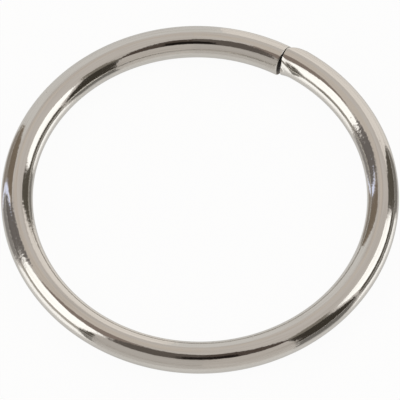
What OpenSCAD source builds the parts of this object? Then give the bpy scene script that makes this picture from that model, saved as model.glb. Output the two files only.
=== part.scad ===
// Open wire ring: one length of round wire bent round until its two cut ends meet.
// It lies flat, with the wire's underside on z = 0, centred on the origin in plan, and the seam on +Y.
// One end is cut square and has a broken edge, on an arm that is bent a little tighter than the ring.
// The other end was sheared: the blade rolled one corner over, and the inside was pressed flat above a lip.

/* [Ring] */
// Clear diameter inside the ring
inner_d = 32; // [16:0.5:60]
// Diameter of the round wire
wire_d = 3.05; // [1.5:0.05:5]

/* [Bent arm] */
// How far the tip of the bent arm stands inside the ring's circle
arm_step = 0.38; // [0.05:0.01:0.8]
// Angle from the seam back to where the arm leaves the ring's circle
arm_span = 95; // [40:1:150]

/* [Seam] */
// Gap between the two ends where they come closest
seam_gap = 0.03; // [0.02:0.01:0.4]
// Angle at which the gap widens from there
seam_opening = 6.5; // [0:0.5:12]
// Angle above the ring's plane, on its outside, at which the ends come closest
seam_tilt = 45; // [0:1:90]
// Angle at which the top of the seam leans over the bent arm
seam_lean = 6; // [0:0.5:10]
// Width of the broken edge round the square end
edge_break = 0.06; // [0.02:0.01:0.2]
// Depth to which that edge was flattened on the inside of the ring
edge_flat = 0.28; // [0.1:0.01:0.4]

/* [Sheared end] */
// Angle above the ring's plane from which the blade came
shear_tilt = 26; // [0:1:60]
// Length of the corner that the blade rolled over
rollover_length = 1.4; // [0.4:0.05:2]
// Depth of the rolled corner at the cut face
rollover_depth = 0.56; // [0.05:0.01:0.8]

/* [Flat and lip] */
// Angle above the ring's plane, on its inside, at which both ends were flattened
flat_tilt = 15; // [0:1:30]
// Length of the sheared end's flat
flat_length = 0.95; // [0.4:0.05:1.6]
// Depth of the flat at the cut face
flat_depth = 0.2; // [0.05:0.01:0.3]
// Radius of the flat's own round, as a multiple of the wire's
flat_round = 1.35; // [1.2:0.05:3]
// Angle below the ring's plane, on its inside, at which the lip stands out
lip_tilt = 35; // [20:1:50]
// Length of wire over which the lip stands out
lip_length = 0.95; // [0.4:0.05:1.6]
// Height of the lip at the cut face
lip_height = 0.14; // [0.05:0.01:0.3]
// How far the lip's own round is sunk in the wire at its root
lip_inset = 0.04; // [0.02:0.01:0.15]
// Radius of the lip's own round, as a share of the wire's
lip_round = 0.65; // [0.4:0.05:0.9]

/* [Hidden] */
$fn = 96;

wire_r = wire_d / 2;
ring_r = inner_d / 2 + wire_r;
seam_angle = 90;

// A cutting block that is sure to clear the wire
block = 3 * wire_d;

// The arm leaves the ring's circle along its tangent, about a centre that lies nearer to it
tip_r = ring_r - arm_step;
arm_offset = (ring_r ^ 2 - tip_r ^ 2) / (2 * (ring_r - tip_r * cos(arm_span)));
arm_r = ring_r - arm_offset;
arm_turn = arm_span + asin(arm_offset * sin(arm_span) / arm_r);

// The rest of the turn, and how far each bend runs on past the seam before it is cut
ring_turn = 360 - arm_span;
overrun = asin(wire_d / arm_r);

// Circle that rounds the rolled corner, tangent to a straight line along the wire's side
rollover_r = (rollover_length ^ 2 + rollover_depth ^ 2) / (2 * rollover_depth);

// The flat is part of a wide cone that stands off the wire's middle, and the wire bends towards it
flat_r = wire_r * flat_round;
flat_shift = flat_r - wire_r + flat_depth;
flat_slope = flat_depth / flat_length + flat_length / (2 * ring_r);

// The lip is a stub of thinner wire that leans out of the wire's side
lip_r = wire_r * lip_round;
lip_lean = atan((lip_height + lip_inset) / lip_length);

// Wire that starts at the local origin along +Y and bends towards -X
module bend(bend_r, turn) {
    translate([-bend_r, 0, 0])
        rotate_extrude(angle = turn)
            translate([bend_r, 0])
                circle(d = wire_d);
}

// Frame at the end of such a bend: +Y along the wire, +X away from the middle of the bend
module bend_end(bend_r, turn) {
    translate([-bend_r, 0, 0])
        rotate(turn)
            translate([bend_r, 0, 0])
                children();
}

// Frame of the sheared end, with +X turned up from the ring's plane
module sheared_end(tilt) {
    bend_end(ring_r, ring_turn)
        rotate([0, -tilt, 0])
            translate([0, -seam_gap / 2, 0])
                children();
}

// Everything past the sheared end's face, which leans out at the top
module sheared_face_cut() {
    bend_end(ring_r, ring_turn)
        rotate([-seam_lean, 0, 0])
            translate([-block / 2, -seam_gap / 2, -block / 2])
                cube(block);
}

// What the rolled corner leaves off, on the +X side
module rollover_cut() {
    linear_extrude(block, center = true)
        translate([wire_r - rollover_r, -rollover_length])
            difference() {
                square([rollover_r + wire_r, block]);
                circle(r = rollover_r);
            }
}

// What the flat leaves off, on the -X side
module flat_cut() {
    reach = wire_r + 2 * flat_length;
    difference() {
        translate([-block / 2, -2 * flat_length, -block / 2])
            cube([block, reach, block]);
        translate([flat_shift, wire_r, 0])
            rotate([90, 0, 0])
                cylinder(
                    h = reach,
                    r1 = flat_r - wire_r * flat_slope,
                    r2 = flat_r + 2 * flat_length * flat_slope
                );
    }
}

// Stub that makes the lip, on the -X side
module lip() {
    translate([lip_inset + lip_r - wire_r, -lip_length, 0])
        rotate(lip_lean)
            rotate([-90, 0, 0])
                cylinder(h = lip_length + wire_r, r = lip_r);
}

// The ring's own bend, up to the sheared end
module sheared_side() {
    difference() {
        union() {
            difference() {
                bend(ring_r, ring_turn + overrun);
                sheared_end(-flat_tilt) flat_cut();
            }
            sheared_end(lip_tilt) lip();
        }
        sheared_face_cut();
        sheared_end(shear_tilt) rollover_cut();
    }
}

// Frame of the square end's face, with +X towards where the two ends come closest
module square_end() {
    bend_end(arm_r, arm_turn)
        rotate(arm_span - arm_turn)
            rotate([seam_lean, 0, 0])
                rotate([0, -seam_tilt, 0])
                    translate([wire_r, -seam_gap / 2, 0])
                        rotate(seam_opening)
                            translate([-wire_r, 0, 0])
                                children();
}

// Everything past the square end's face, and the edge that is broken round it
module square_face_cut() {
    face_r = wire_r - edge_break;
    rotate([-90, 0, 0])
        difference() {
            translate([-block / 2, -block / 2, -wire_r])
                cube(block);
            translate([0, 0, -block])
                cylinder(h = block, r1 = face_r + block, r2 = face_r);
        }
}

// What was flattened off that edge on the inside of the ring
module edge_flat_cut() {
    rotate([0, flat_tilt + seam_tilt - 180, 0])
        translate([wire_r - edge_flat, 0, 0])
            rotate(45)
                translate([0, -block / 2, -block / 2])
                    cube(block);
}

// The arm that is bent tighter, up to the square end
module bent_arm() {
    mirror([0, 1, 0])
        difference() {
            bend(arm_r, arm_turn + overrun);
            square_end() {
                square_face_cut();
                edge_flat_cut();
            }
        }
}

// Both sides start where the arm leaves the ring's circle
module ring() {
    color([0.72, 0.70, 0.67])
        translate([0, 0, wire_r])
            rotate(seam_angle + arm_span)
                translate([ring_r, 0, 0]) {
                    sheared_side();
                    bent_arm();
                }
}

ring();
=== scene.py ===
"""Open wire ring: one length of round wire bent round until its two cut ends meet, plated with nickel."""

import math
from collections import namedtuple

import bmesh
import bpy
from mathutils import Matrix, Vector


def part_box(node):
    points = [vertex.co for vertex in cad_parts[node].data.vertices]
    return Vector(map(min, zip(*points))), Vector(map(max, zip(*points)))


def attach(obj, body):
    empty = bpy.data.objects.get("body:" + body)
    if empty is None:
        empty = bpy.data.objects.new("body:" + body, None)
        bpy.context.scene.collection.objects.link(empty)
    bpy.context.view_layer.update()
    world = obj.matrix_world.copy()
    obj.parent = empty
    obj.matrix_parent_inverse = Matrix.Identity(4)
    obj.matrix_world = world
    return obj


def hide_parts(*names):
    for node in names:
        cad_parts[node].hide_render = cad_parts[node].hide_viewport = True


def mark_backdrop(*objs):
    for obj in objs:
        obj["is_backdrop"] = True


bl_info = {
    "name": "Open Wire Ring",
    "version": (1, 0, 0),
    "blender": (4, 5, 0),
    "location": "3D View > Sidebar > Wire Ring",
    "description": "Bends a nickel-plated wire ring with an open seam and sets a pale stage for it",
    "category": "Object",
}

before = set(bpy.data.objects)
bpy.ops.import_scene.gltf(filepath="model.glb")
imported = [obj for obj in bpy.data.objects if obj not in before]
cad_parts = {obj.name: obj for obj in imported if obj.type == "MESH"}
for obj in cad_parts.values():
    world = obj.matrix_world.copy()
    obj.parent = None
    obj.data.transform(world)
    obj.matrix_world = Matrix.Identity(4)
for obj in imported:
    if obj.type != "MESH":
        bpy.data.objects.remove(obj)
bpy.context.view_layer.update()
RING_LOW, RING_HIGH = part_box("ring")

MM = 0.001
UP = Vector((0, 0, 1))

# Names that the mesh and the plating share
PLACE_ON_WIRE = "place_on_wire"
CUT_FACE = "cut_face"
RUBBED = "rubbed"

# Sockets of a colour mix, which Blender doesn't tell apart by name
MIX_SHARE, MIX_FROM, MIX_TO, MIX_COLOUR = 0, 6, 7, 2

# How much longer the wire's faces get for each length that they lie from the nearer end
FACE_GROWTH = 0.06

# Rings of points on a cut face, as shares of the wire's radius
CAP_SHARES = (0.97, 0.85, 0.7, 0.5, 0.25)

# Least cosine, from the blade's direction, at which the rolled corner can reach the wire's side
LEAST_BLADE_COSINE = 0.1

# The part of the noise that counts as a die line, from its edge to its middle, and the middle's shade
LINE_EDGE, LINE_MIDDLE, LINE_SHADE = 0.45, 0.75, 0.35

# Share of a pit's radius that is its bottom
PIT_BOTTOM = 0.4

# The floor's coat: how flat it is seen where its mirror starts and is full, and its least and most share
COAT_START, COAT_FULL, COAT_LEAST, COAT_MOST = 0.3, 0.6, 0.05, 0.8
COAT_ROUGHNESS = 0.05

# Columns of faces in a light card, degrees between its rows, and how much nearer each card stands
CARD_COLUMNS = 12
CARD_ROW_STEP = 4
CARD_SPACING = 2 * MM

# Width of the camera's sensor in millimetres, and the nearest thing that the camera sees
SENSOR_WIDTH = 36
CLIP_START = 10 * MM


def linear(hex_colour):
    """An sRGB hex colour as linear red, green, blue and alpha."""
    shares = [int(hex_colour[i : i + 2], 16) / 255 for i in (1, 3, 5)]
    return [s / 12.92 if s <= 0.04045 else ((s + 0.055) / 1.055) ** 2.4 for s in shares] + [1.0]


def add_node(tree, kind, inputs=None, **settings):
    """A new node with its settings, and with each input set to a value or linked to an output."""
    node = tree.nodes.new(kind)
    for name, value in settings.items():
        setattr(node, name, value)
    for key, value in (inputs or {}).items():
        if isinstance(value, bpy.types.NodeSocket):
            tree.links.new(value, node.inputs[key])
        else:
            node.inputs[key].default_value = value
    return node


def empty_material(name):
    """A new material with nodes and none of the usual ones."""
    material = bpy.data.materials.new(name)
    material.use_nodes = True
    material.node_tree.nodes.clear()
    return material


def mesh_object(name, bm, material):
    """A new object in the scene from a bmesh, smooth and with one material."""
    for face in bm.faces:
        face.smooth = True
    mesh = bpy.data.meshes.new(name)
    bm.to_mesh(mesh)
    bm.free()
    mesh.materials.append(material)
    made = bpy.data.objects.new(name, mesh)
    bpy.context.scene.collection.objects.link(made)
    return made


class RingSizes(bpy.types.PropertyGroup):
    """Sizes of the bent wire and of its two ends."""

    outer_diameter: bpy.props.FloatProperty(
        name="Outer Diameter",
        description="Distance across the outside of the ring",
        default=RING_HIGH.x - RING_LOW.x,
        unit="LENGTH",
    )
    wire_diameter: bpy.props.FloatProperty(
        name="Wire Diameter",
        description="Diameter of the round wire",
        default=RING_HIGH.z,
        unit="LENGTH",
    )
    arm_step: bpy.props.FloatProperty(
        name="Arm Step",
        description="How far the tip of the bent arm stands inside the ring's circle",
        default=0.38 * MM,
        unit="LENGTH",
    )
    arm_span: bpy.props.FloatProperty(
        name="Arm Span",
        description="Angle from the seam back to where the arm leaves the ring's circle",
        default=math.radians(95),
        subtype="ANGLE",
    )
    seam_angle: bpy.props.FloatProperty(
        name="Seam Angle",
        description="Place of the seam round the ring, from the X axis",
        default=math.radians(90),
        subtype="ANGLE",
    )
    seam_gap: bpy.props.FloatProperty(
        name="Seam Gap",
        description="Gap between the two ends where they come closest, drawn wider so that it shows",
        default=0.06 * MM,
        unit="LENGTH",
    )
    seam_opening: bpy.props.FloatProperty(
        name="Seam Opening",
        description="Angle at which the gap widens from there",
        default=math.radians(5.5),
        subtype="ANGLE",
    )
    seam_tilt: bpy.props.FloatProperty(
        name="Seam Tilt",
        description="Angle above the ring's plane, on its outside, at which the ends come closest",
        default=math.radians(45),
        subtype="ANGLE",
    )
    seam_lean: bpy.props.FloatProperty(
        name="Seam Lean",
        description="Angle at which the top of the seam leans over the bent arm",
        default=math.radians(6),
        subtype="ANGLE",
    )
    edge_break: bpy.props.FloatProperty(
        name="Edge Break",
        description="Radius of the broken edge round the square end",
        default=0.06 * MM,
        unit="LENGTH",
    )
    edge_flat: bpy.props.FloatProperty(
        name="Edge Flat",
        description="How much more is taken off that edge on the inside of the ring",
        default=0.28 * MM,
        unit="LENGTH",
    )
    sheared_edge: bpy.props.FloatProperty(
        name="Sheared End's Edge",
        description="Radius of the edge round the sheared face",
        default=0.02 * MM,
        unit="LENGTH",
    )
    shear_tilt: bpy.props.FloatProperty(
        name="Shear Tilt",
        description="Angle above the ring's plane from which the blade came",
        default=math.radians(26),
        subtype="ANGLE",
    )
    rollover_length: bpy.props.FloatProperty(
        name="Rollover Length",
        description="Length of the corner that the blade rolled over",
        default=1.3 * MM,
        unit="LENGTH",
    )
    rollover_depth: bpy.props.FloatProperty(
        name="Rollover Depth",
        description="Depth of the rolled corner at the cut face",
        default=0.6 * MM,
        unit="LENGTH",
    )
    flat_length: bpy.props.FloatProperty(
        name="Flat Length",
        description="Length of the side that was pressed flat inside the ring",
        default=0.95 * MM,
        unit="LENGTH",
    )
    flat_depth: bpy.props.FloatProperty(
        name="Flat Depth",
        description="Depth of the flat at the cut face",
        default=0.2 * MM,
        unit="LENGTH",
    )
    flat_radius: bpy.props.FloatProperty(
        name="Flat Radius",
        description="Radius of the nearly flat side at the cut face",
        default=3.0 * MM,
        unit="LENGTH",
    )
    flat_tilt: bpy.props.FloatProperty(
        name="Flat Tilt",
        description="Angle above the ring's plane, on its inside, at which both ends were flattened",
        default=math.radians(15),
        subtype="ANGLE",
    )
    lip_length: bpy.props.FloatProperty(
        name="Lip Length",
        description="Length of wire over which the lip below the flat stands out",
        default=0.95 * MM,
        unit="LENGTH",
    )
    lip_height: bpy.props.FloatProperty(
        name="Lip Height",
        description="Height of the lip at the cut face",
        default=0.14 * MM,
        unit="LENGTH",
    )
    lip_inset: bpy.props.FloatProperty(
        name="Lip Inset",
        description="How far the lip's own round is sunk in the wire at its root",
        default=0.04 * MM,
        unit="LENGTH",
    )
    lip_radius: bpy.props.FloatProperty(
        name="Lip Radius",
        description="Radius of the lip's own round",
        default=1.0 * MM,
        unit="LENGTH",
    )
    lip_tilt: bpy.props.FloatProperty(
        name="Lip Tilt",
        description="Angle below the ring's plane, on its inside, at which the lip stands out",
        default=math.radians(35),
        subtype="ANGLE",
    )
    rubbed_angle: bpy.props.FloatProperty(
        name="Rubbed Angle",
        description="Angle from the sheared end to the middle of the first rubbed stretch",
        default=math.radians(46),
        subtype="ANGLE",
    )
    rubbed_length: bpy.props.FloatProperty(
        name="Rubbed Length",
        description="Length of each of the two rubbed stretches, which lie opposite each other",
        default=12 * MM,
        unit="LENGTH",
    )
    crease: bpy.props.FloatProperty(
        name="Crease",
        description="Width over which the creases of the sheared end are rounded",
        default=0.12 * MM,
        unit="LENGTH",
    )
    sides: bpy.props.IntProperty(
        name="Sides",
        description="Number of faces round the wire",
        default=128,
        min=24,
    )
    fine_step: bpy.props.FloatProperty(
        name="Fine Step",
        description="Length of the faces at the two ends",
        default=0.03 * MM,
        unit="LENGTH",
    )
    coarse_step: bpy.props.FloatProperty(
        name="Coarse Step",
        description="Length of the faces away from the ends",
        default=0.25 * MM,
        unit="LENGTH",
    )


class PlateFinish(bpy.types.PropertyGroup):
    """Colours and marks of the nickel plating."""

    plate_colour: bpy.props.FloatVectorProperty(
        name="Plate Colour",
        description="Colour of the bright plating",
        default=linear("#D4D1CB"),
        subtype="COLOR",
        size=4,
    )
    mark_colour: bpy.props.FloatVectorProperty(
        name="Mark Colour",
        description="Colour in the die lines and pits",
        default=linear("#B3ADA5"),
        subtype="COLOR",
        size=4,
    )
    # The cut faces' dark brown is painted shade of the closed seam between the two ends
    cut_face_shade_colour: bpy.props.FloatVectorProperty(
        name="Cut Face Shade Colour",
        description="Colour of the thin plating on the cut faces",
        default=linear("#564A40"),
        subtype="COLOR",
        size=4,
    )
    edge_colour: bpy.props.FloatVectorProperty(
        name="Edge Colour",
        description="How much of its mirror the plating keeps where it is seen edge on",
        default=linear("#EBEBEB"),
        subtype="COLOR",
        size=4,
    )
    plate_roughness: bpy.props.FloatProperty(
        name="Plate Roughness",
        description="Roughness of the bright plating",
        default=0.07,
        min=0,
        max=1,
        subtype="FACTOR",
    )
    dull_roughness: bpy.props.FloatProperty(
        name="Dull Roughness",
        description="Roughness in pits and on the cut faces",
        default=0.35,
        min=0,
        max=1,
        subtype="FACTOR",
    )
    line_width: bpy.props.FloatProperty(
        name="Line Width",
        description="Width of a die line",
        default=0.2 * MM,
        unit="LENGTH",
    )
    line_length: bpy.props.FloatProperty(
        name="Line Length",
        description="Length of a die line",
        default=8 * MM,
        unit="LENGTH",
    )
    line_depth: bpy.props.FloatProperty(
        name="Line Depth",
        description="Depth of a die line",
        default=0.002 * MM,
        unit="LENGTH",
    )
    ripple_size: bpy.props.FloatProperty(
        name="Ripple Size",
        description="Distance between the ripples in the surface",
        default=0.7 * MM,
        unit="LENGTH",
    )
    ripple_depth: bpy.props.FloatProperty(
        name="Ripple Depth",
        description="Height of the ripples in the surface",
        default=0.008 * MM,
        unit="LENGTH",
    )
    pit_spacing: bpy.props.FloatProperty(
        name="Pit Spacing",
        description="Distance between pits",
        default=1.5 * MM,
        unit="LENGTH",
    )
    pit_radius: bpy.props.FloatProperty(
        name="Pit Radius",
        description="Largest radius of a pit",
        default=0.08 * MM,
        unit="LENGTH",
    )
    pit_depth: bpy.props.FloatProperty(
        name="Pit Depth",
        description="Depth of a pit",
        default=0.006 * MM,
        unit="LENGTH",
    )
    dimple_size: bpy.props.FloatProperty(
        name="Dimple Size",
        description="Distance between dimples on the rubbed stretches",
        default=0.25 * MM,
        unit="LENGTH",
    )
    dimple_depth: bpy.props.FloatProperty(
        name="Dimple Depth",
        description="Depth of a dimple in the middle of a rubbed stretch",
        default=0.015 * MM,
        unit="LENGTH",
    )


class StudioStage(bpy.types.PropertyGroup):
    """The camera's place, the floor and the light cards round the ring."""

    camera_azimuth: bpy.props.FloatProperty(
        name="Camera Azimuth",
        description="Direction of the camera round the ring, from straight ahead of the seam",
        default=math.radians(29.0),
        subtype="ANGLE",
    )
    camera_elevation: bpy.props.FloatProperty(
        name="Camera Elevation",
        description="Angle at which the camera looks down",
        default=math.radians(60.23),
        subtype="ANGLE",
    )
    camera_roll: bpy.props.FloatProperty(
        name="Camera Roll",
        description="Turn of the camera about its own axis",
        default=math.radians(-0.46),
        subtype="ANGLE",
    )
    camera_distance: bpy.props.FloatProperty(
        name="Camera Distance",
        description="Distance from the camera to the middle of the ring",
        default=899 * MM,
        unit="LENGTH",
    )
    view_width: bpy.props.FloatProperty(
        name="View Width",
        description="Width of the picture at the middle of the ring",
        default=38.28 * MM,
        unit="LENGTH",
    )
    view_drop: bpy.props.FloatProperty(
        name="View Drop",
        description="How far the middle of the picture lies below the middle of the ring",
        default=0.27 * MM,
        unit="LENGTH",
    )
    floor_size: bpy.props.FloatProperty(
        name="Floor Size",
        description="Length of the floor's sides",
        default=8,
        unit="LENGTH",
    )
    floor_colour: bpy.props.FloatVectorProperty(
        name="Floor Colour",
        description="Colour of the satin white floor",
        default=linear("#FBF8F2"),
        subtype="COLOR",
        size=4,
    )
    floor_white: bpy.props.FloatProperty(
        name="Floor White",
        description="Share of plain white in the floor as it is seen, so that its shadow stays faint",
        default=0.95,
        min=0,
        max=1,
        subtype="FACTOR",
    )
    floor_mirrored: bpy.props.FloatProperty(
        name="Floor Mirrored",
        description="How much of that white the metal mirrors, where the ring shades the floor beside it",
        default=0.7,
        min=0,
        max=1,
        subtype="FACTOR",
    )
    room_colour: bpy.props.FloatVectorProperty(
        name="Room Colour",
        description="Colour of the pale room above and behind the cards",
        default=linear("#DAD4D0"),
        subtype="COLOR",
        size=4,
    )
    card_distance: bpy.props.FloatProperty(
        name="Card Distance",
        description="Distance from the ring to the light cards",
        default=750 * MM,
        unit="LENGTH",
    )


def soft_min(a, b, width):
    """The smaller of two lengths, with the corner between them rounded over a width."""
    overlap = max(width - abs(a - b), 0) / width
    return min(a, b) - overlap**2 * width / 4


def soft_max(a, b, width):
    """The larger of two lengths, with the corner between them rounded over a width."""
    return -soft_min(-a, -b, width)


def chord(turn, offset, radius):
    """Distance from the wire's middle, at a turn, to a circle whose centre is offset at no turn."""
    reach = radius**2 - (offset * math.sin(turn)) ** 2
    return offset * math.cos(turn) + math.sqrt(max(reach, 0))


def edge_steps(radius, steps=9):
    """Distances from a face out to where its rounded edge meets the wire's side."""
    return [radius * (1 - math.cos(math.pi / 2 * i / steps)) for i in range(steps + 1)]


def edge_inset(radius, from_face):
    """How far a rounded edge draws the wire's side in, at a distance from the face."""
    return radius - math.sqrt(radius**2 - max(radius - from_face, 0) ** 2)


class BentWire:
    """Path and section of the wire, measured along it from the sheared face to the square face."""

    def __init__(self, sizes):
        self.sizes = sizes
        self.wire_r = sizes.wire_diameter / 2
        self.ring_r = sizes.outer_diameter / 2 - self.wire_r

        # The arm leaves the ring's circle along its tangent, about a centre that lies nearer to it
        tip_r = self.ring_r - sizes.arm_step
        reach = self.ring_r - tip_r * math.cos(sizes.arm_span)
        arm_offset = (self.ring_r**2 - tip_r**2) / (2 * reach)
        self.arm_r = self.ring_r - arm_offset
        arm_turn = sizes.arm_span + math.asin(arm_offset * math.sin(sizes.arm_span) / self.arm_r)
        self.arm_start = sizes.seam_angle + sizes.arm_span
        to_arm = Matrix.Rotation(self.arm_start, 3, "Z") @ Vector((arm_offset, 0, 0))
        self.ring_middle = UP * self.wire_r
        self.arm_middle = self.ring_middle + to_arm

        # Lengths of the two bends, and how the square face leans
        self.face_turn = math.asin(sizes.seam_gap / 2 / self.ring_r)
        self.ring_length = self.ring_r * (2 * math.pi - sizes.arm_span - self.face_turn)
        setback = sizes.seam_gap / 2 + self.wire_r * math.tan(sizes.seam_opening)
        self.length = self.ring_length + self.arm_r * arm_turn - setback
        self.arm_lean = math.tan(sizes.arm_span - arm_turn)
        self.opening_lean = math.tan(sizes.seam_opening)
        self.top_lean = math.tan(sizes.seam_lean)

        # The rolled corner is rounded by a circle
        self.rollover_r = (sizes.rollover_length**2 + sizes.rollover_depth**2) / (2 * sizes.rollover_depth)

        # The flat is part of a wide cone, and the lip is a thinner stub that leans out
        self.flat_offset = sizes.flat_radius + sizes.flat_depth - self.wire_r
        self.flat_slope = sizes.flat_depth / sizes.flat_length
        self.lip_out = self.wire_r + sizes.lip_height - sizes.lip_radius
        self.lip_slope = (sizes.lip_height + sizes.lip_inset) / sizes.lip_length

    def middle(self, along):
        """Middle of the wire and its outward direction at a distance along it."""
        if along < self.ring_length:
            turn = self.sizes.seam_angle - self.face_turn - along / self.ring_r
            bend_r, centre = self.ring_r, self.ring_middle
        else:
            turn = self.arm_start - (along - self.ring_length) / self.arm_r
            bend_r, centre = self.arm_r, self.arm_middle
        outward = Vector((math.cos(turn), math.sin(turn), 0))
        return centre + bend_r * outward, outward

    def radius(self, turn, along):
        """Radius of the wire at a turn from outward towards up, at a distance along it."""
        sizes = self.sizes
        radius = self.wire_r
        from_flat = turn - math.pi + sizes.flat_tilt
        if along < 2 * sizes.flat_length:
            cone_r = sizes.flat_radius + along * self.flat_slope
            flat = chord(from_flat, -self.flat_offset, cone_r)
            radius = soft_min(radius, flat, sizes.crease)
        from_lip = turn - math.pi - sizes.lip_tilt
        if along < sizes.lip_length and math.cos(from_lip) > 0:
            lip = chord(from_lip, self.lip_out - along * self.lip_slope, sizes.lip_radius)
            radius = soft_max(radius, lip, sizes.crease)
        from_blade = turn - sizes.shear_tilt
        if along < sizes.rollover_length and math.cos(from_blade) > LEAST_BLADE_COSINE:
            sink = self.rollover_r - math.sqrt(self.rollover_r**2 - (sizes.rollover_length - along) ** 2)
            radius = soft_min(radius, (self.wire_r - sink) / math.cos(from_blade), sizes.crease)
        return radius

    def rubbed(self, turn, along):
        """How much the wire was rubbed at a place on it, from none to all.

        The first stretch was rubbed on the inside of the ring only.
        """
        first = self.ring_r * self.sizes.rubbed_angle
        from_first = abs(along - first)
        from_second = abs(along - first - math.pi * self.ring_r)
        share = max(1 - 2 * min(from_first, from_second) / self.sizes.rubbed_length, 0)
        if from_first < from_second:
            inside = min(max(0.5 - math.cos(turn), 0), 1)
            share *= inside
        return share * share * (3 - 2 * share)

    def square_edge(self, turn):
        """Radius of the broken edge round the square end, wider on the inside of the ring."""
        from_flat = turn - math.pi + self.sizes.flat_tilt
        flat = self.sizes.edge_flat - self.wire_r * (1 - math.cos(from_flat))
        return self.sizes.edge_break + soft_max(flat, 0, self.sizes.crease)

    def stations(self):
        """Distances along the wire from face to face, closest at the ends."""
        sizes = self.sizes
        near = edge_steps(sizes.sheared_edge)
        far = [self.length - back for back in reversed(edge_steps(sizes.edge_break + sizes.edge_flat))]
        between = []
        along = near[-1]
        while True:
            to_end = min(along - near[-1], far[0] - along)
            along += min(sizes.coarse_step, sizes.fine_step + FACE_GROWTH * to_end)
            if along >= far[0] - sizes.fine_step / 2:
                break
            between.append(along)
        return near + between + far

    def point(self, turn, along, share=1.0):
        """Place of a surface point, and the same point on the wire as it was before it was bent."""
        middle, outward = self.middle(along)
        to_square = self.length - along
        inset = edge_inset(self.sizes.sheared_edge, along) + edge_inset(self.square_edge(turn), to_square)
        radius = (self.radius(turn, along) - inset) * share
        out = radius * math.cos(turn)
        high = radius * math.sin(turn)
        to_meeting = radius * math.cos(turn - self.sizes.seam_tilt)
        square_lean = out * self.arm_lean + to_meeting * self.opening_lean - high * self.top_lean
        ahead = max(1 - to_square / self.wire_r, 0) * square_lean
        ahead -= max(1 - along / self.wire_r, 0) * high * self.top_lean
        place = middle + outward * out + UP * high + outward.cross(UP) * ahead
        return place, Vector((out, high, along))


def wire_mesh(sizes):
    """The whole wire as a closed mesh, with each point's place on the straight wire in millimetres."""
    wire = BentWire(sizes)
    bm = bmesh.new()
    place_layer = bm.verts.layers.float_vector.new(PLACE_ON_WIRE)
    cut_layer = bm.verts.layers.float.new(CUT_FACE)
    rubbed_layer = bm.verts.layers.float.new(RUBBED)
    turns = [2 * math.pi * i / sizes.sides for i in range(sizes.sides)]

    def add_point(turn, along, share, cut):
        place, straight = wire.point(turn, along, share)
        vert = bm.verts.new(place)
        vert[place_layer] = straight / MM
        vert[cut_layer] = cut
        vert[rubbed_layer] = wire.rubbed(turn, along)
        return vert

    def add_ring(along, share=1.0, cut=0.0):
        return [add_point(turn, along, share, cut) for turn in turns]

    def join(first, second):
        for i in range(sizes.sides):
            bm.faces.new((first[i - 1], first[i], second[i], second[i - 1]))

    rings = [add_ring(0, share, 1.0) for share in reversed(CAP_SHARES)]
    rings += [add_ring(along) for along in wire.stations()]
    rings += [add_ring(wire.length, share, 1.0) for share in CAP_SHARES]
    for first, second in zip(rings, rings[1:]):
        join(first, second)
    near_middle = add_point(0, 0, 0.0, 1.0)
    far_middle = add_point(0, wire.length, 0.0, 1.0)
    for i in range(sizes.sides):
        bm.faces.new((near_middle, rings[0][i], rings[0][i - 1]))
        bm.faces.new((far_middle, rings[-1][i - 1], rings[-1][i]))
    bmesh.ops.recalc_face_normals(bm, faces=bm.faces)
    return bm


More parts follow.
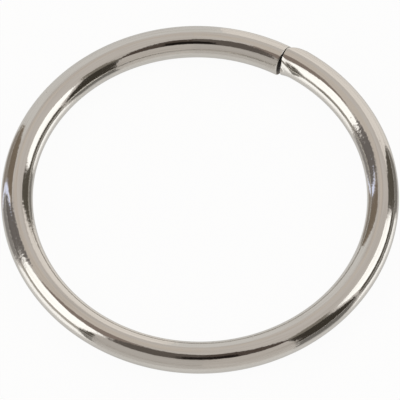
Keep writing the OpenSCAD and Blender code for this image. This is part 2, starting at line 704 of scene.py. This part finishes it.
def bright_nickel(finish):
    """Bright nickel plate on drawn steel wire, plated in a barrel after the ring was bent.

    It gives the eye a warm grey mirror that shows the room in long bands. Die lines run along the
    wire, the plate ripples a little, so that the bands' edges are not quite straight, and there are
    a few small pits. Dimples break the bands up on two stretches. The cut faces were plated too and
    stay dull, and their dark brown colour is painted shade of the closed seam between the two ends.
    """
    material = empty_material("bright_nickel_plate")
    tree = material.node_tree
    place = add_node(tree, "ShaderNodeAttribute", attribute_name=PLACE_ON_WIRE).outputs["Vector"]
    cut = add_node(tree, "ShaderNodeAttribute", attribute_name=CUT_FACE).outputs["Fac"]
    rubbed = add_node(tree, "ShaderNodeAttribute", attribute_name=RUBBED).outputs["Fac"]

    # Die lines are real scratches of a few hundredths of a millimetre, drawn coarser so that they show
    stretch = (1, 1, finish.line_width / finish.line_length)
    along = add_node(tree, "ShaderNodeVectorMath", {0: place, 1: stretch}, operation="MULTIPLY")
    lines = add_node(
        tree,
        "ShaderNodeTexNoise",
        {"Vector": along.outputs[0], "Scale": MM / finish.line_width, "Detail": 3, "Roughness": 0.6},
    ).outputs["Fac"]

    # Ripples are left by the bending rolls and by tumbling in the barrel
    ripples = add_node(
        tree,
        "ShaderNodeTexNoise",
        {"Vector": place, "Scale": MM / finish.ripple_size, "Detail": 2, "Roughness": 0.5},
    ).outputs["Fac"]

    # Dimples lie close together on two stretches, where the rings rubbed on each other
    dimples = add_node(
        tree,
        "ShaderNodeTexNoise",
        {"Vector": place, "Scale": MM / finish.dimple_size, "Detail": 2, "Roughness": 0.5},
    ).outputs["Fac"]

    # Pits are where gas clung to the wire in the bath
    cells = add_node(tree, "ShaderNodeTexVoronoi", {"Vector": place, "Scale": MM / finish.pit_spacing})
    pit_share = finish.pit_radius / finish.pit_spacing
    pits = add_node(
        tree,
        "ShaderNodeMapRange",
        {"Value": cells.outputs["Distance"], "From Min": pit_share, "From Max": PIT_BOTTOM * pit_share},
        interpolation_type="SMOOTHSTEP",
    ).outputs["Result"]

    # Colour: a little darker in the lines and pits, and on the cut faces a dark brown that is painted
    # shade of the closed seam
    line_shade = add_node(
        tree,
        "ShaderNodeMapRange",
        {"Value": lines, "From Min": LINE_EDGE, "From Max": LINE_MIDDLE, "To Max": LINE_SHADE},
    ).outputs["Result"]
    marks = add_node(tree, "ShaderNodeMath", {0: line_shade, 1: pits}, operation="MAXIMUM").outputs[0]
    plate = add_node(
        tree,
        "ShaderNodeMix",
        {MIX_SHARE: marks, MIX_FROM: finish.plate_colour, MIX_TO: finish.mark_colour},
        data_type="RGBA",
    ).outputs[MIX_COLOUR]
    colour = add_node(
        tree,
        "ShaderNodeMix",
        {MIX_SHARE: cut, MIX_FROM: plate, MIX_TO: finish.cut_face_shade_colour},
        data_type="RGBA",
    ).outputs[MIX_COLOUR]

    # Gloss: a mirror, hazier in the lines and pits and on the cut faces
    haze = add_node(tree, "ShaderNodeMath", {0: marks, 1: cut}, operation="MAXIMUM").outputs[0]
    roughness = add_node(
        tree,
        "ShaderNodeMapRange",
        {"Value": haze, "To Min": finish.plate_roughness, "To Max": finish.dull_roughness},
    ).outputs["Result"]

    # Relief: ripples first, then the dimples and the lines, then the pits sunk into all
    rippled = add_node(
        tree, "ShaderNodeBump", {"Height": ripples, "Strength": 1, "Distance": finish.ripple_depth}
    ).outputs["Normal"]
    dimpled = add_node(
        tree,
        "ShaderNodeBump",
        {"Height": dimples, "Strength": rubbed, "Distance": finish.dimple_depth, "Normal": rippled},
    ).outputs["Normal"]
    lined = add_node(
        tree,
        "ShaderNodeBump",
        {"Height": lines, "Strength": 1, "Distance": finish.line_depth, "Normal": dimpled},
    ).outputs["Normal"]
    relief = add_node(
        tree,
        "ShaderNodeBump",
        {"Height": pits, "Strength": 1, "Distance": finish.pit_depth, "Normal": lined},
        invert=True,
    ).outputs["Normal"]

    metal = add_node(
        tree,
        "ShaderNodeBsdfPrincipled",
        {
            "Base Color": colour,
            "Metallic": 1,
            "Roughness": roughness,
            "Specular Tint": finish.edge_colour,
            "Normal": relief,
        },
    )
    add_node(tree, "ShaderNodeOutputMaterial", {"Surface": metal.outputs["BSDF"]})
    return material


def satin_white_floor(stage):
    """Satin white laminate, which gives the eye an even white with a faint soft shadow.

    Seen flat along it, as the sides of the ring see it, its clear top coat mirrors the room. The camera
    looks past the coat, so the floor is plain from every side.
    """
    material = empty_material("satin_white_laminate")
    tree = material.node_tree
    paper = add_node(tree, "ShaderNodeBsdfDiffuse", {"Color": stage.floor_colour})
    white = add_node(tree, "ShaderNodeEmission", {"Color": linear("#FFFFFF"), "Strength": 1})
    path = add_node(tree, "ShaderNodeLightPath").outputs
    seen = add_node(
        tree,
        "ShaderNodeMath",
        {0: path["Is Glossy Ray"], 1: stage.floor_mirrored, 2: path["Is Camera Ray"]},
        operation="MULTIPLY_ADD",
    )
    seen = add_node(
        tree,
        "ShaderNodeMath",
        {0: seen.outputs[0], 1: path["Is Transmission Ray"]},
        operation="ADD",
        use_clamp=True,
    )
    share = add_node(
        tree, "ShaderNodeMath", {0: seen.outputs[0], 1: stage.floor_white}, operation="MULTIPLY"
    )
    core = add_node(
        tree,
        "ShaderNodeMixShader",
        {0: share.outputs[0], 1: paper.outputs["BSDF"], 2: white.outputs["Emission"]},
    )
    flat = add_node(tree, "ShaderNodeLayerWeight", {"Blend": 0.5}).outputs["Facing"]
    gloss = add_node(
        tree,
        "ShaderNodeMapRange",
        {
            "Value": flat,
            "From Min": COAT_START,
            "From Max": COAT_FULL,
            "To Min": COAT_LEAST,
            "To Max": COAT_MOST,
        },
        interpolation_type="SMOOTHSTEP",
    )
    coat = add_node(
        tree, "ShaderNodeBsdfGlossy", {"Color": linear("#FFFFFF"), "Roughness": COAT_ROUGHNESS}
    )
    coated = add_node(
        tree,
        "ShaderNodeMixShader",
        {0: gloss.outputs["Result"], 1: core.outputs["Shader"], 2: coat.outputs["BSDF"]},
    )
    floor = add_node(
        tree,
        "ShaderNodeMixShader",
        {0: path["Is Camera Ray"], 1: coated.outputs["Shader"], 2: core.outputs["Shader"]},
    )
    add_node(tree, "ShaderNodeOutputMaterial", {"Surface": floor.outputs["Shader"]})
    return material


def card_material(card):
    """Cloth of a lit soft box or of an unlit flag, which gives the eye one even tone in the mirror."""
    material = empty_material(card.name)
    tree = material.node_tree
    glow = add_node(tree, "ShaderNodeEmission", {"Color": linear(card.colour), "Strength": card.level})
    add_node(tree, "ShaderNodeOutputMaterial", {"Surface": glow.outputs["Emission"]})
    return material


# Each card has a name, a colour, a level of light, and rows from its lower edge to its upper one. A row
# is a height above the floor and the left and right edges there, in degrees as the ring sees them, with
# 0 straight behind the ring and 90 to the right. A later card covers the ones before it.
Card = namedtuple("Card", "name colour level rows")
CARDS = (
    Card("panel_back_left", "#E6E4E2", 1.0, ((1, -40, 4), (42, -37, 4))),
    Card("panel_back_right", "#FAF4EF", 1.05, ((1, 4, 47), (40, 4, 46))),
    Card("ceiling_left", "#DCD3CB", 1.0, ((53, -74, 0), (66, -78, 0), (80, -85, 0))),
    Card(
        "soft_box_left",
        "#FFFFFF",
        1.6,
        ((9, -124, -90), (30, -126, -82), (45, -129, -78), (53, -123, -92)),
    ),
    Card("soft_box_right", "#FFFFFF", 1.6, ((15, 69, 101), (30, 65, 105), (44, 60, 106), (50, 76, 100))),
    Card("box_stand_left", "#B5B0A7", 1.0, ((1, -124, -88), (6, -124, -88))),
    Card("flag_left_front", "#5C5850", 1.0, ((1, -131, -124), (28, -130, -127))),
    Card("flag_left", "#7B7674", 1.0, ((1, -88, -61), (30, -80, -61), (46, -76, -50), (56, -66, -46))),
    Card("window_left", "#DDE4FF", 1.5, ((1, -61, -57), (34, -60, -58))),
    Card("curtain_left", "#897C6E", 1.0, ((1, -57, -40), (28, -57, -39), (44, -52, -37))),
    Card("flag_right", "#605B52", 1.0, ((1, 47, 67), (16, 47, 68), (38, 46, 60), (43, 42, 56))),
    Card("stand_right", "#66625A", 1.0, ((1, 67, 104), (15, 68, 101))),
    Card(
        "flag_right_front",
        "#454039",
        1.0,
        ((1, 105, 138), (15, 106, 137), (30, 110, 137), (44, 112, 136)),
    ),
    Card("flag_right_top", "#8A847B", 1.0, ((44, 112, 138), (52, 106, 132), (60, 98, 116))),
    Card(
        "panel_front_right",
        "#D1CBC6",
        1.0,
        ((1, 138, 181), (20, 136, 181), (32, 139, 181), (44, 144, 181)),
    ),
    Card("panel_front_left", "#CBC6C2", 1.0, ((1, -181, -131), (43, -181, -131))),
    Card("table_edge_left", "#B6B0AA", 1.0, ((1, -181, -131), (4, -181, -131))),
    Card("boom_right", "#5A504A", 1.0, ((43, 134, 181), (62, 134, 181), (78, 149, 181))),
    Card("boom_left", "#6A635E", 1.0, ((43, -181, -133), (58, -181, -127), (80, -181, -115))),
    Card("boom_arm", "#978A83", 1.0, ((54, -127, -76), (66, -123, -72), (80, -113, -80))),
    Card("lens_right", "#201B18", 1.0, ((46, 160, 180), (62, 160, 180))),
    Card("lens_left", "#201B18", 1.0, ((46, -180, -168), (62, -180, -168))),
)


def between(rows, step):
    """The rows of a card with more rows put in, so that none are further apart than a step."""
    for low, high in zip(rows, rows[1:]):
        count = max(1, round((high[0] - low[0]) / step))
        for i in range(count):
            yield [a + (b - a) * i / count for a, b in zip(low, high)]
    yield list(rows[-1])


def stand_card(card, stage, distance):
    """A light card on a sphere round the ring, which the camera looks through."""
    bm = bmesh.new()
    turn = Matrix.Rotation(stage.camera_azimuth, 3, "Z")
    grid = []
    for height, left, right in between(card.rows, CARD_ROW_STEP):
        level = math.radians(height)
        line = []
        for i in range(CARD_COLUMNS + 1):
            side = math.radians(left + (right - left) * i / CARD_COLUMNS)
            ahead = math.cos(side) * math.cos(level)
            seen = Vector((math.sin(side) * math.cos(level), ahead, math.sin(level)))
            line.append(bm.verts.new(turn @ seen * distance))
        grid.append(line)
    for low, high in zip(grid, grid[1:]):
        for i in range(CARD_COLUMNS):
            bm.faces.new((low[i], low[i + 1], high[i + 1], high[i]))
    made = mesh_object(card.name, bm, card_material(card))
    made.visible_camera = False
    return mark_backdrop(made)


def lay_floor(stage):
    """The flat floor that the ring lies on."""
    bm = bmesh.new()
    bmesh.ops.create_grid(bm, x_segments=1, y_segments=1, size=stage.floor_size / 2)
    floor = mesh_object("floor", bm, satin_white_floor(stage))
    floor.location.z = RING_LOW.z
    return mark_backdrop(floor)


def light_room(stage):
    """The pale room, which lights the ring evenly from all sides."""
    world = bpy.data.worlds.new("pale_room")
    world.use_nodes = True
    tree = world.node_tree
    tree.nodes.clear()
    room = add_node(tree, "ShaderNodeBackground", {"Color": stage.room_colour, "Strength": 1})
    add_node(tree, "ShaderNodeOutputWorld", {"Surface": room.outputs["Background"]})
    bpy.context.scene.world = world


def aim_camera(stage, middle):
    """A camera with a long lens that looks down on the ring."""
    camera = bpy.data.cameras.new("camera")
    camera.sensor_width = SENSOR_WIDTH
    camera.lens = SENSOR_WIDTH * stage.camera_distance / stage.view_width
    camera.clip_start = CLIP_START
    camera.clip_end = stage.floor_size
    made = bpy.data.objects.new("camera", camera)
    bpy.context.scene.collection.objects.link(made)
    turn = Matrix.Rotation(stage.camera_azimuth, 4, "Z")
    tip = Matrix.Rotation(math.pi / 2 - stage.camera_elevation, 4, "X")
    roll = Matrix.Rotation(stage.camera_roll, 4, "Z")
    away = Matrix.Translation((0, -stage.view_drop, stage.camera_distance))
    made.matrix_world = Matrix.Translation(middle) @ turn @ tip @ away @ roll
    bpy.context.scene.camera = made


class WIRE_RING_OT_bend_ring(bpy.types.Operator):
    """Bend the wire into a ring with an open seam and plate it"""

    bl_idname = "wire_ring.bend_ring"
    bl_label = "Bend Ring"

    def execute(self, context):
        scene = context.scene
        plate = bright_nickel(scene.plate_finish)
        ring = mesh_object("wire_ring", wire_mesh(scene.ring_sizes), plate)
        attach(ring, "root")
        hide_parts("ring")
        return {"FINISHED"}


class WIRE_RING_OT_set_stage(bpy.types.Operator):
    """Lay the floor, stand the light cards round it and aim the camera"""

    bl_idname = "wire_ring.set_stage"
    bl_label = "Set Stage"

    def execute(self, context):
        stage = context.scene.studio_stage
        context.scene.view_settings.view_transform = "Standard"
        lay_floor(stage)
        light_room(stage)
        for number, card in enumerate(CARDS):
            stand_card(card, stage, stage.card_distance - number * CARD_SPACING)
        aim_camera(stage, UP * context.scene.ring_sizes.wire_diameter / 2)
        return {"FINISHED"}


class WIRE_RING_PT_sidebar(bpy.types.Panel):
    """Sizes, finish and stage of the wire ring"""

    bl_idname = "WIRE_RING_PT_sidebar"
    bl_label = "Wire Ring"
    bl_space_type = "VIEW_3D"
    bl_region_type = "UI"
    bl_category = "Wire Ring"

    def draw(self, context):
        scene = context.scene
        for group in (scene.ring_sizes, scene.plate_finish, scene.studio_stage):
            box = self.layout.box()
            for name in group.__annotations__:
                box.prop(group, name)
        self.layout.operator(WIRE_RING_OT_bend_ring.bl_idname)
        self.layout.operator(WIRE_RING_OT_set_stage.bl_idname)


CLASSES = (
    RingSizes,
    PlateFinish,
    StudioStage,
    WIRE_RING_OT_bend_ring,
    WIRE_RING_OT_set_stage,
    WIRE_RING_PT_sidebar,
)


def register():
    for cls in CLASSES:
        bpy.utils.register_class(cls)
    bpy.types.Scene.ring_sizes = bpy.props.PointerProperty(type=RingSizes)
    bpy.types.Scene.plate_finish = bpy.props.PointerProperty(type=PlateFinish)
    bpy.types.Scene.studio_stage = bpy.props.PointerProperty(type=StudioStage)


def unregister():
    del bpy.types.Scene.studio_stage
    del bpy.types.Scene.plate_finish
    del bpy.types.Scene.ring_sizes
    for cls in reversed(CLASSES):
        bpy.utils.unregister_class(cls)


def main():
    register()
    bpy.ops.wire_ring.bend_ring()
    bpy.ops.wire_ring.set_stage()


if __name__ == "__main__":
    main()
